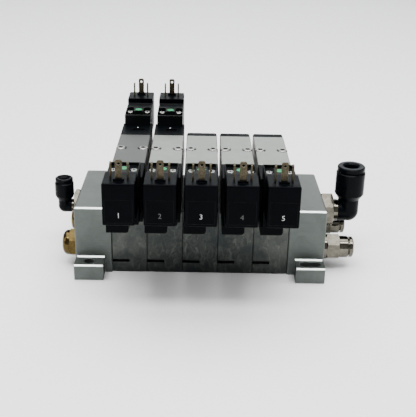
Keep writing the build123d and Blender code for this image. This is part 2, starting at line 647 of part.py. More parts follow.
with BuildPart() as pilot:
    block((-PILOT_HALF, PILOT_HALF), (-PILOT_END, -CAP_POCKET), (LEDGE_Z[1], PILOT_TOP))
    chamfer(pilot.faces().sort_by(Axis.Z)[-1].edges().filter_by(Axis.Y), PILOT_BREAK)
    with BuildSketch(Plane.XY.offset(TRAY_FLOOR)) as tray:
        with Locations((0, -(TRAY_START + NICHE_Y) / 2)):
            Rectangle(2 * PILOT_SCREW_X, NICHE_Y - TRAY_START)
        with Locations((0, -NICHE_Y)):
            Circle(NICHE_R)
        for x in (-PILOT_SCREW_X, PILOT_SCREW_X):
            with Locations((x, -(TRAY_START + PILOT_POCKET_Y) / 2)):
                Rectangle(2 * PILOT_POCKET_R, PILOT_POCKET_Y - TRAY_START)
            with Locations((x, -PILOT_POCKET_Y)):
                Circle(PILOT_POCKET_R)
        near_corners = tray.vertices().group_by(Axis.Y)[-1].sort_by(Axis.X)
        fillet([near_corners[0], near_corners[-1]], TRAY_CORNER)
        niche_corners = tray.vertices().filter_by_position(
            Axis.Y, -NICHE_Y - NICHE_R, -NICHE_Y - NICHE_ROUND
        )
        fillet(niche_corners, NICHE_ROUND)
    extrude(tray.sketch, amount=PILOT_TOP - TRAY_FLOOR, mode=Mode.SUBTRACT)
    block(
        (-PILOT_HALF, PILOT_HALF), (-TRAY_WALL_END, -CAP_POCKET), (TRAY_WALL_TOP, PILOT_TOP),
        mode=Mode.SUBTRACT,
    )
    rib_top = PILOT_TOP + RIB
    rib_half = PILOT_HALF - PILOT_BREAK
    block((-rib_half, rib_half), (-RIB_Y[1], -RIB_Y[0]), (PILOT_TOP, rib_top))
    chamfer(pilot.faces().sort_by(Axis.Z)[-1].edges(), RIB_BREAK)
    rod_y(CHAMBER_R, CHAMBER_START, PILOT_END, 0, PILOT_AXIS, mode=Mode.SUBTRACT)
    nozzle_end = ARMATURE[0] - NOZZLE_GAP
    rod_y(NOZZLE_R, CHAMBER_START, nozzle_end, 0, PILOT_AXIS)
    rod_y(NOZZLE_BORE, CHAMBER_START - NOZZLE_DEPTH, nozzle_end, 0, PILOT_AXIS, mode=Mode.SUBTRACT)
    rod_y(PASSAGE_R, CAP_POCKET, PASSAGE_Y + PASSAGE_R, 0, PASSAGE_Z, mode=Mode.SUBTRACT)
    rod_z(PASSAGE_R, PASSAGE_Z, PASSAGE_TOP, 0, -PASSAGE_Y, mode=Mode.SUBTRACT)
    rod_z(
        OVERRIDE_R + RUNNING_GAP, OVERRIDE_FLOOR, PILOT_TOP, 0, -OVERRIDE_Y, mode=Mode.SUBTRACT
    )
    for x in (-PILOT_SCREW_X, PILOT_SCREW_X):
        rod_z(
            PILOT_SCREW_R + BOLT_GAP, LEDGE_Z[1], TRAY_FLOOR, x, -PILOT_SCREW_Y,
            mode=Mode.SUBTRACT,
        )
        rod_z(
            PILOT_POCKET_R, PILOT_HEAD_Z[0], TRAY_FLOOR, x, -PILOT_SCREW_Y, mode=Mode.SUBTRACT
        )
save_copies(pilot, "pilot_bodies", SOLENOID_PLACES)

with BuildPart() as pilot_screw:
    low, high = PILOT_HEAD_Z
    turned_z(
        [(0, PILOT_SCREW_TIP), (PILOT_SCREW_R, PILOT_SCREW_TIP), (PILOT_SCREW_R, low),
         (PILOT_HEAD_R, low), (PILOT_HEAD_R, high), (0, high)],
        0, -PILOT_SCREW_Y,
    )
    fillet(pilot_screw.faces().sort_by(Axis.Z)[-1].edges(), PILOT_HEAD_ROUND)
    cross_length, cross_width, cross_depth = DRIVER_CROSS
    for size in ((cross_length, cross_width), (cross_width, cross_length)):
        with BuildSketch(Plane.XY.offset(high)) as cross:
            with Locations((0, -PILOT_SCREW_Y)):
                Rectangle(*size)
        extrude(cross.sketch, amount=-cross_depth, mode=Mode.SUBTRACT)
save_copies(
    pilot_screw, "pilot_screws", shifted(SOLENOID_PLACES, (-PILOT_SCREW_X, PILOT_SCREW_X))
)

with BuildPart() as override:
    rod_z(OVERRIDE_R, OVERRIDE_BOTTOM, PILOT_TOP, 0, -OVERRIDE_Y)
    chamfer(override.edges().filter_by(GeomType.CIRCLE).sort_by(Axis.Z)[-1], OVERRIDE_BREAK)
    with BuildSketch(Plane.XY.offset(PILOT_TOP)) as driver_slot:
        with Locations((0, -OVERRIDE_Y)):
            Rectangle(OVERRIDE_SLOT[0], OVERRIDE_SLOT[1])
    extrude(driver_slot.sketch, amount=-OVERRIDE_SLOT[2], mode=Mode.SUBTRACT)

with BuildPart() as armature:
    turned_y(
        [(ARMATURE[0], 0), (ARMATURE[0], ARMATURE_R), (ARMATURE[1], ARMATURE_R),
         (ARMATURE[1], 0)],
        0, PILOT_AXIS,
    )

for name, place in zip(SOLENOID_NAMES, SOLENOID_PLACES):
    save_copies(override, f"override_{name}", [place])
    save_copies(armature, f"armature_{name}", [place])

with BuildPart() as core_tube:
    flange_start, flange_end = TUBE_FLANGE
    turned_y(
        [(flange_start, TUBE_BORE_R), (flange_start, CHAMBER_R - BOLT_GAP),
         (flange_end, CHAMBER_R - BOLT_GAP), (flange_end, TUBE_R), (TUBE_END, TUBE_R),
         (TUBE_END, 0), (CORE_POCKET_END, 0),
         (CORE_POCKET_END, CORE_POCKET_R), (CORE_START, CORE_POCKET_R),
         (CORE_START, TUBE_BORE_R)],
        0, PILOT_AXIS,
    )
save_copies(core_tube, "core_tubes", SOLENOID_PLACES)

override_spring_height = (
    OVERRIDE_BOTTOM - OVERRIDE_TRAVEL - OVERRIDE_FLOOR - OVERRIDE_SPRING_ROOM
)
turns, spring_r, wire_r = OVERRIDE_SPRING
override_spring = coil_spring(
    override_spring_height / turns, override_spring_height, spring_r, wire_r
)
override_spring_place = Location((0, -OVERRIDE_Y, OVERRIDE_FLOOR + OVERRIDE_SPRING_SEAT))
armature_spring_length = CORE_POCKET_END - CORE_START - 2 * ARMATURE_SEAT
turns, spring_r, wire_r = ARMATURE_SPRING
armature_spring = coil_spring(
    armature_spring_length / turns, armature_spring_length, spring_r, wire_r
)
armature_spring_place = Location((0, -CORE_START - ARMATURE_SEAT, PILOT_AXIS), (90, 0, 0))
save_copies(
    override_spring, "override_springs", [p * override_spring_place for p in SOLENOID_PLACES]
)
save_copies(
    armature_spring, "armature_springs", [p * armature_spring_place for p in SOLENOID_PLACES]
)


# ---------------------------------------------------------------- coils and contact blades

with BuildPart() as coil:
    block((-COIL_HALF, COIL_HALF), (-COIL_END, -PILOT_END), COIL_Z)
    lengthwise = coil.edges().filter_by(Axis.Y)
    fillet(lengthwise + coil.faces().sort_by(Axis.Y)[0].edges(), COIL_FILLET)
    panel_half, panel_depth = COIL_PANEL
    block(
        (-panel_half, panel_half), (-COIL_END, panel_depth - COIL_END), COIL_PANEL_Z,
        mode=Mode.SUBTRACT,
    )
    plinth_y = (-EARTH_Y - PLINTH[1] / 2, -EARTH_Y + PLINTH[1] / 2)
    block((-PLINTH[0] / 2, PLINTH[0] / 2), plinth_y, (COIL_Z[1], COIL_Z[1] + PLINTH[2]))
    rod_y(TUBE_R + FIT_GAP, PILOT_END, TUBE_END + FIT_GAP, 0, PILOT_AXIS, mode=Mode.SUBTRACT)
    rod_y(
        WINDING_R[1] + WINDING_GAP, WINDING[0] - WINDING_GAP, WINDING[1] + WINDING_GAP,
        0, PILOT_AXIS, mode=Mode.SUBTRACT,
    )
    for x in (-BLADE_X, BLADE_X):
        block(
            (x - BLADE_THICK / 2, x + BLADE_THICK / 2),
            (-BLADE_Y - BLADE_WIDTH / 2, -BLADE_Y + BLADE_WIDTH / 2),
            (BLADE_ROOT, COIL_Z[1]),
            mode=Mode.SUBTRACT,
        )
    block(
        (-BLADE_WIDTH / 2, BLADE_WIDTH / 2),
        (-EARTH_Y - BLADE_THICK / 2, -EARTH_Y + BLADE_THICK / 2),
        (BLADE_ROOT, COIL_Z[1] + PLINTH[2]),
        mode=Mode.SUBTRACT,
    )
save_copies(coil, "coil_housings", SOLENOID_PLACES)

with BuildPart() as winding:
    inner_r, outer_r = WINDING_R
    turned_y(
        [(WINDING[0], inner_r), (WINDING[0], outer_r), (WINDING[1], outer_r),
         (WINDING[1], inner_r)],
        0, PILOT_AXIS,
    )
save_copies(winding, "coil_windings", SOLENOID_PLACES)


def blade(plane, middle, top):
    """A flat contact blade with a rounded tip and a hole near it."""
    with BuildSketch(plane) as outline:
        with Locations((middle, (BLADE_ROOT + top) / 2)):
            Rectangle(BLADE_WIDTH, top - BLADE_ROOT)
        fillet(outline.vertices().group_by(Axis.Y)[-1], BLADE_TIP)
        with Locations((middle, top - BLADE_HOLE_DROP)):
            Circle(BLADE_HOLE_R, mode=Mode.SUBTRACT)
    extrude(outline.sketch, amount=BLADE_THICK / 2, both=True)


with BuildPart() as blades:
    blade(Plane.XZ.offset(EARTH_Y), 0, EARTH_TOP)
    blade(Plane.YZ.offset(-BLADE_X), -BLADE_Y, BLADE_TOP)
    blade(Plane.YZ.offset(BLADE_X), -BLADE_Y, BLADE_TOP)
save_copies(blades, "contact_blades", SOLENOID_PLACES)


# ---------------------------------------------------------------- fittings

def hexagon_x(flats, start, end, y, z):
    """A hexagon along X, corner up, with its corners turned down at both ends."""
    corner_r = flats / 3 ** 0.5
    low, high = sorted((start, end))
    with BuildSketch(Plane.YZ.offset(low)) as section:
        with Locations((y, z)):
            RegularPolygon(flats / 2, 6, major_radius=False, rotation=30)
    extrude(section.sketch, amount=high - low)
    face_r = flats / 2 - 0.1
    slope = (corner_r - face_r) / 2
    turned_x(
        [(low, 0), (low, face_r), (low + slope, corner_r), (high - slope, corner_r),
         (high, face_r), (high, 0)],
        y, z, mode=Mode.INTERSECT,
    )


def elbow_stem(spec):
    """The nickel stem of a push-in elbow: thread, hexagon, neck and swivel spigot."""
    side = spec["side"]
    face = side * PLATE_OUTER

    def out(distance):
        return face + side * distance

    neck_r, neck_end = spec["neck"]
    spigot_r, spigot_end = spec["spigot"]
    thread_r = THREAD_LARGE_R - THREAD_GAP
    bore_r = spec["passage"]
    with BuildPart() as stem:
        hexagon_x(spec["flats"], face, out(spec["hex"]), VALVE_Y, SUPPLY_Z)
        turned_x(
            [(out(-STEM_DEPTH), 0), (out(-STEM_DEPTH), thread_r), (face, thread_r),
             (face, neck_r), (out(neck_end), neck_r), (out(neck_end), spigot_r),
             (out(spigot_end), spigot_r), (out(spigot_end), 0)],
            VALVE_Y, SUPPLY_Z,
        )
        span = sorted((out(-STEM_DEPTH), out(spigot_end)))
        rod_x(bore_r, *span, VALVE_Y, SUPPLY_Z, mode=Mode.SUBTRACT)
    return stem


def elbow_body(spec):
    """The black body that swivels on the stem and turns the flow upwards."""
    side = spec["side"]
    face = side * PLATE_OUTER
    axis_x = face + side * spec["axis"]
    lower_r, body_r = spec["lower"], spec["body"]
    cone_low, cone_high = spec["cone"]
    seat_low, seat_high = spec["seat"]
    start_x = face + side * spec["start"]
    socket_x = face + side * spec["socket"]
    with BuildPart() as body:
        rod_x(lower_r, *sorted((start_x, axis_x)), VALVE_Y, SUPPLY_Z)
        with Locations((axis_x, VALVE_Y, SUPPLY_Z)):
            Sphere(lower_r + CORNER_SWELL)
        turned_z(
            [(0, SUPPLY_Z), (lower_r, SUPPLY_Z), (lower_r, cone_low), (body_r, cone_high),
             (body_r, spec["top"] - 0.6), (body_r - 0.6, spec["top"]), (0, spec["top"])],
            axis_x, VALVE_Y,
        )
        socket_r = spec["spigot"][0] + SWIVEL_GAP
        rod_x(socket_r, *sorted((start_x, socket_x)), VALVE_Y, SUPPLY_Z, mode=Mode.SUBTRACT)
        passage_r = spec["passage"]
        rod_x(passage_r, *sorted((socket_x, axis_x)), VALVE_Y, SUPPLY_Z, mode=Mode.SUBTRACT)
        rod_z(passage_r, SUPPLY_Z, seat_low, axis_x, VALVE_Y, mode=Mode.SUBTRACT)
        rod_z(spec["tube"], seat_low, seat_high, axis_x, VALVE_Y, mode=Mode.SUBTRACT)
        rod_z(spec["collet"], seat_high, spec["top"], axis_x, VALVE_Y, mode=Mode.SUBTRACT)
        with Locations((axis_x, VALVE_Y, SUPPLY_Z)):
            Sphere(passage_r + CORNER_SWELL, mode=Mode.SUBTRACT)
    return body


def elbow_ring(spec):
    """The release ring: a sleeve in the body with a flange that a thumb pushes."""
    axis_x = spec["side"] * (PLATE_OUTER + spec["axis"])
    sleeve_r, sleeve_low = spec["sleeve"]
    flange_r, flange_low, flange_top = spec["flange"]
    funnel_r, funnel_low = spec["funnel"]
    tube_r = spec["tube"]
    with BuildPart() as ring:
        turned_z(
            [(tube_r, sleeve_low), (sleeve_r, sleeve_low), (sleeve_r, flange_low),
             (flange_r, flange_low), (flange_r, flange_top - 0.5),
             (flange_r - 0.5, flange_top), (funnel_r, flange_top), (tube_r, funnel_low)],
            axis_x, VALVE_Y,
        )
    return ring


left_stem = elbow_stem(LEFT_ELBOW)
right_stem = elbow_stem(RIGHT_ELBOW)
with BuildPart() as elbow_stems:
    add(left_stem.part)
    add(right_stem.part)
save(elbow_stems, "elbow_stems")
for name, spec in (("left", LEFT_ELBOW), ("right", RIGHT_ELBOW)):
    save(elbow_body(spec), f"{name}_elbow")
    save(elbow_ring(spec), f"{name}_elbow_release_ring")

with BuildPart() as straight_fitting:
    face = PLATE_OUTER
    flange_r, flange_end = STRAIGHT_FLANGE
    body_r, body_end = STRAIGHT_BODY
    thread_r = THREAD_SMALL_R - THREAD_GAP
    hexagon_x(STRAIGHT_FLATS, face + flange_end, face + STRAIGHT_HEX, 0, EXHAUST_Z)
    turned_x(
        [(face - STRAIGHT_STEM, 0), (face - STRAIGHT_STEM, thread_r), (face, thread_r),
         (face, flange_r), (face + flange_end, flange_r), (face + flange_end, body_r),
         (face + body_end - 0.4, body_r), (face + body_end, body_r - 0.4),
         (face + body_end, 0)],
        0, EXHAUST_Z,
    )
    seat_start, seat_end = STRAIGHT_SEAT
    bores = [
        (STRAIGHT_PASSAGE_R, -STRAIGHT_STEM, seat_start),
        (STRAIGHT_TUBE_R, seat_start, seat_end),
        (STRAIGHT_COLLET_R, seat_end, body_end),
    ]
    for radius, start, end in bores:
        rod_x(radius, face + start, face + end, 0, EXHAUST_Z, mode=Mode.SUBTRACT)
low_places = [Location((0, y, 0)) for y in EXHAUST_Y]
save_copies(straight_fitting, "straight_fittings", low_places)

with BuildPart() as straight_ring:
    ring_r, ring_start, ring_end = STRAIGHT_RING
    sleeve_r, sleeve_start = STRAIGHT_SLEEVE
    funnel_r, funnel_start = STRAIGHT_FUNNEL
    turned_x(
        [(face + sleeve_start, STRAIGHT_TUBE_R), (face + sleeve_start, sleeve_r),
         (face + ring_start, sleeve_r), (face + ring_start, ring_r),
         (face + ring_end - 0.6, ring_r), (face + ring_end, ring_r - 0.6),
         (face + ring_end, funnel_r), (face + funnel_start, STRAIGHT_TUBE_R)],
        0, EXHAUST_Z,
    )
for name, place in zip(("front", "rear"), low_places):
    save_copies(straight_ring, f"{name}_release_ring", [place])

with BuildPart() as silencer:
    dome_r, dome_end = SILENCER_DOME
    hexagon_x(SILENCER_FLATS, -PLATE_OUTER, -PLATE_OUTER - SILENCER_HEX, 0, EXHAUST_Z)
    turned_x(
        [(-PLATE_OUTER + STRAIGHT_STEM, 0), (-PLATE_OUTER + STRAIGHT_STEM, thread_r),
         (-PLATE_OUTER, thread_r), (-PLATE_OUTER, dome_r),
         (-PLATE_OUTER - dome_end, dome_r), (-PLATE_OUTER - dome_end, 0)],
        0, EXHAUST_Z,
    )
    fillet(silencer.faces().sort_by(Axis.X)[0].edges(), 3.0)
    rod_x(2.6, -PLATE_OUTER - 2.0, STRAIGHT_STEM - PLATE_OUTER, 0, EXHAUST_Z, mode=Mode.SUBTRACT)
save_copies(silencer, "exhaust_silencers", low_places)
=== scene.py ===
import json
import math

import bmesh
import bpy
from mathutils import Matrix, Vector


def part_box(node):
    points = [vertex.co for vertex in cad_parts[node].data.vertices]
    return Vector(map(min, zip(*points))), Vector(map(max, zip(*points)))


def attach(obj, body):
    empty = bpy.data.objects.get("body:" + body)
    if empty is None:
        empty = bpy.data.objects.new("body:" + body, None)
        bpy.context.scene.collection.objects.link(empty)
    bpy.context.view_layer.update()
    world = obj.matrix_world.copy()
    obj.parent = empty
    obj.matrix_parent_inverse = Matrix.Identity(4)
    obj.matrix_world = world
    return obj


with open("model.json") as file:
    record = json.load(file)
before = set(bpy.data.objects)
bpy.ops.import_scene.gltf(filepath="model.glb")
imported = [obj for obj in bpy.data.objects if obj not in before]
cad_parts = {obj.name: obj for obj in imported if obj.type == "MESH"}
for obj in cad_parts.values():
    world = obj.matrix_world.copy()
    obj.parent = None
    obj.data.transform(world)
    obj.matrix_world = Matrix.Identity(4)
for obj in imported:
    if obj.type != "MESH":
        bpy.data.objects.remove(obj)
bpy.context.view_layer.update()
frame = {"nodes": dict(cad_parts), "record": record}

# Looks for a bank of five pneumatic directional valves on a manifold. Metres, in the row frame:
# +Z is up, +X runs along the row of valves, -Y is the side with a solenoid on every valve.

MM = 0.001
nodes = frame["nodes"]

STATIONS = range(1, 6)
SOLENOIDS = [f"front_{n}" for n in STATIONS] + ["rear_1", "rear_2"]


# ---------------------------------------------------------------- materials

SEED_STEP = (17.3, 5.1, 9.7)        # how far apart the patterns of two seeds lie
CHAMFER_PRODUCT = (0.36, 0.46)      # of the normal's Y and Z, which is 0.5 on a 45 degree slope
BEVEL_SAMPLES = 6
OPEN_FACE_COSINE = 0.985
SHARP_EDGE_COSINE = 0.8


class Finish:
    """A node material whose patterns are laid out in millimetres of the row frame."""

    def __init__(self, name, metallic=0.0, specular=0.5):
        self.made = bpy.data.materials.new(name)
        self.made.use_nodes = True
        self.tree = self.made.node_tree
        self.tree.nodes.clear()
        output = self.add("ShaderNodeOutputMaterial")
        self.shader = self.add("ShaderNodeBsdfPrincipled")
        self.shader.inputs["Metallic"].default_value = metallic
        self.shader.inputs["Specular IOR Level"].default_value = specular
        self.tree.links.new(self.shader.outputs[0], output.inputs["Surface"])
        scale = self.add("ShaderNodeVectorMath", operation="SCALE")
        scale.inputs["Scale"].default_value = 1 / MM
        place = self.add("ShaderNodeTexCoord").outputs["Object"]
        self.tree.links.new(place, scale.inputs[0])
        self.mm = scale.outputs[0]

    def add(self, kind, **settings):
        node = self.tree.nodes.new(kind)
        for key, value in settings.items():
            setattr(node, key, value)
        return node

    def feed(self, socket, value):
        """Links an output to the socket, or sets the socket's own value."""
        if isinstance(value, bpy.types.NodeSocket):
            self.tree.links.new(value, socket)
        else:
            socket.default_value = value

    def math(self, operation, *values):
        node = self.add("ShaderNodeMath", operation=operation)
        for socket, value in zip(node.inputs, values):
            self.feed(socket, value)
        return node.outputs[0]

    def along(self, axis):
        """The position along X, Y or Z, in millimetres."""
        split = self.add("ShaderNodeSeparateXYZ")
        self.feed(split.inputs[0], self.mm)
        return split.outputs[axis]

    def chamfers(self):
        """1 on faces that slope between vertical and level about X, such as broken edges."""
        geometry = self.add("ShaderNodeNewGeometry")
        split = self.add("ShaderNodeSeparateXYZ")
        self.feed(split.inputs[0], geometry.outputs["Normal"])
        both = self.math("MULTIPLY", split.outputs["Y"], split.outputs["Z"])
        return self.span(self.math("ABSOLUTE", both), *CHAMFER_PRODUCT)

    def placed(self, size, stretch, seed):
        """The pattern's own coordinates, one unit to size millimetres, moved apart by the seed."""
        mapping = self.add("ShaderNodeMapping")
        self.feed(mapping.inputs["Vector"], self.mm)
        mapping.inputs["Scale"].default_value = [s / size for s in stretch]
        mapping.inputs["Location"].default_value = [seed * step for step in SEED_STEP]
        return mapping.outputs[0]

    def noise(self, size, detail=3.0, rough=0.55, stretch=(1, 1, 1), swirl=0.0, seed=0):
        """Fractal noise whose largest features are about size millimetres."""
        node = self.add("ShaderNodeTexNoise")
        self.feed(node.inputs["Vector"], self.placed(size, stretch, seed))
        node.inputs["Scale"].default_value = 1.0
        node.inputs["Detail"].default_value = detail
        node.inputs["Roughness"].default_value = rough
        node.inputs["Distortion"].default_value = swirl
        return node.outputs["Fac"]

    def cells(self, size, seed=0):
        """The distance to the nearest of many scattered points."""
        node = self.add("ShaderNodeTexVoronoi", feature="F1")
        self.feed(node.inputs["Vector"], self.placed(size, (1, 1, 1), seed))
        node.inputs["Scale"].default_value = 1.0
        return node.outputs["Distance"]

    def span(self, value, low, high, to_low=0.0, to_high=1.0):
        """The value's range from low to high stretched to another range."""
        node = self.add("ShaderNodeMapRange", clamp=True)
        for socket, given in zip(node.inputs, (value, low, high, to_low, to_high)):
            self.feed(socket, given)
        return node.outputs[0]

    def mix(self, share, first, second):
        """A colour from first at share 0 to second at share 1."""
        node = self.add("ShaderNodeMix", data_type="RGBA", clamp_factor=True)
        self.feed(node.inputs["Factor"], share)
        for socket, colour in ((node.inputs[6], first), (node.inputs[7], second)):
            if not isinstance(colour, bpy.types.NodeSocket):
                colour = (*colour, 1.0)
            self.feed(socket, colour)
        return node.outputs[2]

    def edges(self, radius):
        """1 along sharp edges and 0 on open faces; also keeps the rounded normal.

        The radius is in millimetres. What is compared is the cosine between the face's normal
        and the rounded one.
        """
        bevel = self.add("ShaderNodeBevel", samples=BEVEL_SAMPLES)
        bevel.inputs["Radius"].default_value = radius * MM
        self.rounded = bevel.outputs[0]
        geometry = self.add("ShaderNodeNewGeometry")
        dot = self.add("ShaderNodeVectorMath", operation="DOT_PRODUCT")
        self.tree.links.new(bevel.outputs[0], dot.inputs[0])
        self.tree.links.new(geometry.outputs["Normal"], dot.inputs[1])
        return self.span(dot.outputs["Value"], OPEN_FACE_COSINE, SHARP_EDGE_COSINE)

    def bump(self, height, depth, normal=None):
        """A relief depth millimetres high, laid over the given normal."""
        node = self.add("ShaderNodeBump")
        node.inputs["Strength"].default_value = 1.0
        node.inputs["Distance"].default_value = depth * MM
        self.tree.links.new(height, node.inputs["Height"])
        if normal is not None:
            self.tree.links.new(normal, node.inputs["Normal"])
        return node.outputs[0]

    def finish(self, colour, roughness, normal):
        """Feeds the shader and returns the finished material."""
        self.feed(self.shader.inputs["Base Color"], colour)
        self.feed(self.shader.inputs["Roughness"], roughness)
        self.feed(self.shader.inputs["Normal"], normal)
        return self.made


def plastic(name, colour, worn, roughness, grain=0.18, depth=0.006, specular=0.4, edge=0.25):
    """Moulded plastic: spark-eroded grain, faint flow marks, lighter handled edges."""
    made = Finish(name, specular=specular)
    fine = made.noise(grain, detail=2.0, rough=0.6)
    flow = made.noise(6.0, detail=3.0, stretch=(1, 0.5, 1), swirl=0.8, seed=1)
    worn_share = made.math("MULTIPLY", made.edges(edge), made.noise(0.9, seed=2))
    lighter = tuple(min(1.0, c * 1.6 + 0.0006) for c in colour)
    shade = made.mix(made.span(flow, 0.35, 0.7, 0.0, 0.6), colour, lighter)
    shade = made.mix(made.span(worn_share, 0.1, 0.7, 0.0, 0.7), shade, worn)
    low, high = roughness
    rough = made.math("ADD", made.span(flow, 0.3, 0.7, low, high),
                      made.span(fine, 0.3, 0.7, -0.04, 0.04))
    normal = made.bump(fine, depth, normal=made.rounded)
    return made.finish(shade, rough, normal)


def brushed(name, dark, light, roughness):
    """Machined metal with fine lines along X, cloudy patches and bright broken edges."""
    made = Finish(name, metallic=0.92)
    lines = made.noise(0.16, detail=4.0, rough=0.7, stretch=(0.03, 1, 1))
    cloud = made.noise(7.0, detail=4.0, rough=0.55, swirl=0.4, seed=3)
    specks = made.span(made.cells(1.3, seed=4), 0.06, 0.0)
    share = made.math("ADD", made.span(lines, 0.25, 0.75, 0.0, 0.45),
                      made.span(cloud, 0.3, 0.7, 0.0, 0.55))
    shade = made.mix(share, dark, light)
    shade = made.mix(made.math("MULTIPLY", specks, 0.5), shade, tuple(0.6 * c for c in dark))
    bright = tuple(min(1.0, c * 1.35 + 0.05) for c in light)
    shade = made.mix(made.math("MULTIPLY", made.edges(0.3), 0.75), shade, bright)
    low, high = roughness
    rough = made.math("ADD", made.span(cloud, 0.3, 0.7, low, high),
                      made.span(lines, 0.3, 0.7, -0.05, 0.05))
    normal = made.bump(lines, 0.004, normal=made.rounded)
    return made.finish(shade, rough, normal)


def plate_finish():
    """Die-cast end plates, machined smooth, with painted highlights on the edges and on the
    chamfers along X.
    """
    made = Finish("plate_metal", metallic=0.8)
    grain = made.noise(0.22, detail=3.0, rough=0.65)
    milled = made.noise(0.3, detail=3.0, stretch=(0.05, 0.05, 1), seed=5)
    cloud = made.noise(11.0, detail=5.0, rough=0.6, swirl=0.7, seed=6)
    spots = made.span(made.noise(0.8, detail=2.0, seed=7), 0.7, 0.78)
    share = made.math("ADD", made.span(cloud, 0.3, 0.7, 0.0, 0.7),
                      made.span(milled, 0.3, 0.7, 0.0, 0.2))
    shade = made.mix(share, (0.062, 0.071, 0.066), (0.112, 0.127, 0.118))
    shade = made.mix(made.math("MULTIPLY", spots, 0.35), shade, (0.06, 0.07, 0.065))
    # painted highlight: the rounded edges are mixed toward a light grey
    shade = made.mix(made.math("MULTIPLY", made.edges(0.35), 0.6), shade, (0.34, 0.37, 0.36))
    # painted highlight: chamfers sloping about X are lightened to near white and made smoother
    painted_chamfer_highlight = made.math("MULTIPLY", made.chamfers(), made.span(grain, 0.3, 0.6, 0.7, 1.0))
    shade = made.mix(painted_chamfer_highlight, shade, (0.55, 0.60, 0.57))
    rough = made.math("ADD", made.span(cloud, 0.3, 0.7, 0.40, 0.50),
                      made.span(grain, 0.3, 0.7, -0.04, 0.06))
    rough = made.math("SUBTRACT", rough, made.math("MULTIPLY", painted_chamfer_highlight, 0.14))
    height = made.math("ADD", grain, made.math("MULTIPLY", milled, 0.35))
    return made.finish(shade, rough, made.bump(height, 0.008, normal=made.rounded))


PAINTED_REFLECTION_FROM_TO = (14, 44)          # painted reflection, lighter from the middle of the row outwards, in millimetres
PAINTED_SHADE_FROM_TO = (14, 2)             # painted shade, darker down towards the base, in millimetres


def cast_finish():
    """Raw cast modules: swirls, streaks, stains and pits, with a painted reflection lighter
    outwards and painted shade darker low down.
    """
    made = Finish("cast_metal", metallic=0.7)
    grain = made.noise(0.35, detail=4.0, rough=0.7)
    swirl = made.noise(5.0, detail=6.0, rough=0.62, swirl=2.2, seed=8)
    stain = made.noise(13.0, detail=3.0, rough=0.5, swirl=0.5, seed=9)
    streak = made.noise(3.2, detail=5.0, rough=0.7, stretch=(1, 1, 0.45), swirl=1.4, seed=10)
    pits = made.span(made.cells(1.7, seed=11), 0.16, 0.05)
    shade = made.mix(made.span(swirl, 0.36, 0.64), (0.019, 0.024, 0.023), (0.054, 0.060, 0.055))
    shade = made.mix(made.span(streak, 0.52, 0.74, 0.0, 0.7), shade, (0.15, 0.158, 0.14))
    # painted reflection: the modules grow lighter from the middle of the row outwards
    painted_reflection = made.span(made.math("ABSOLUTE", made.along("X")), *PAINTED_REFLECTION_FROM_TO, 0.0, 0.4)
    shade = made.mix(painted_reflection, shade, (0.13, 0.135, 0.12))
    shade = made.mix(made.span(stain, 0.48, 0.66, 0.0, 0.65), shade, (0.020, 0.027, 0.028))
    # painted shade: the modules darken toward the base, broken up by the streaks
    painted_low_shade = made.math("MULTIPLY", made.span(made.along("Z"), *PAINTED_SHADE_FROM_TO, 0.0, 0.9),
                      made.span(streak, 0.3, 0.6, 1.0, 0.6))
    shade = made.mix(painted_low_shade, shade, (0.008, 0.011, 0.012))
    shade = made.mix(made.math("MULTIPLY", pits, 0.5), shade, (0.008, 0.008, 0.008))
    shade = made.mix(made.math("MULTIPLY", made.edges(0.3), 0.4), shade, (0.18, 0.19, 0.18))
    rough = made.math("ADD", made.span(swirl, 0.35, 0.65, 0.42, 0.60),
                      made.span(grain, 0.3, 0.7, -0.06, 0.06))
    height = made.math("SUBTRACT", made.math("ADD", grain, made.math("MULTIPLY", swirl, 2.5)),
                       made.math("MULTIPLY", pits, 1.5))
    return made.finish(shade, rough, made.bump(height, 0.02, normal=made.rounded))


def polished(name, dark, light, roughness, tarnish=(0.09, 0.075, 0.055)):
    """Plated or polished turned metal: faint tool marks, handling haze, thin tarnish."""
    made = Finish(name, metallic=1.0)
    marks = made.noise(0.12, detail=3.0, rough=0.6, stretch=(1, 0.15, 0.15))
    haze = made.noise(2.6, detail=5.0, rough=0.6, swirl=0.6, seed=12)
    spots = made.span(made.noise(0.7, detail=3.0, seed=13), 0.66, 0.76)
    shade = made.mix(made.span(haze, 0.3, 0.7), dark, light)
    shade = made.mix(made.math("MULTIPLY", spots, 0.35), shade, tarnish)
    made.edges(0.2)
    low, high = roughness
    rough = made.math("ADD", made.span(haze, 0.35, 0.7, low, high),
                      made.span(marks, 0.3, 0.7, -0.02, 0.03))
    return made.finish(shade, rough, made.bump(marks, 0.0025, normal=made.rounded))


def contact_finish():
    """Dull tinned bronze blades with draw marks and brown oxide."""
    made = Finish("contact_metal", metallic=0.85)
    draw = made.noise(0.14, detail=4.0, rough=0.7, stretch=(1, 1, 0.06))
    oxide = made.noise(1.4, detail=5.0, rough=0.65, swirl=1.2, seed=14)
    shade = made.mix(made.span(oxide, 0.35, 0.68), (0.075, 0.062, 0.038), (0.030, 0.024, 0.014))
    shade = made.mix(made.span(draw, 0.5, 0.75, 0.0, 0.4), shade, (0.15, 0.13, 0.09))
    shade = made.mix(made.math("MULTIPLY", made.edges(0.15), 0.6), shade, (0.24, 0.20, 0.13))
    rough = made.span(oxide, 0.3, 0.7, 0.34, 0.55)
    return made.finish(shade, rough, made.bump(draw, 0.006, normal=made.rounded))


def rubber_finish():
    """Soft black seals with a dusty bloom."""
    made = Finish("seal_rubber", specular=0.3)
    fine = made.noise(0.25, detail=3.0)
    bloom = made.noise(2.0, detail=4.0, seed=15)
    shade = made.mix(made.span(bloom, 0.4, 0.75, 0.0, 0.5), (0.012, 0.012, 0.013),
                     (0.05, 0.05, 0.048))
    made.edges(0.1)
    rough = made.span(fine, 0.3, 0.7, 0.62, 0.8)
    return made.finish(shade, rough, made.bump(fine, 0.01, normal=made.rounded))


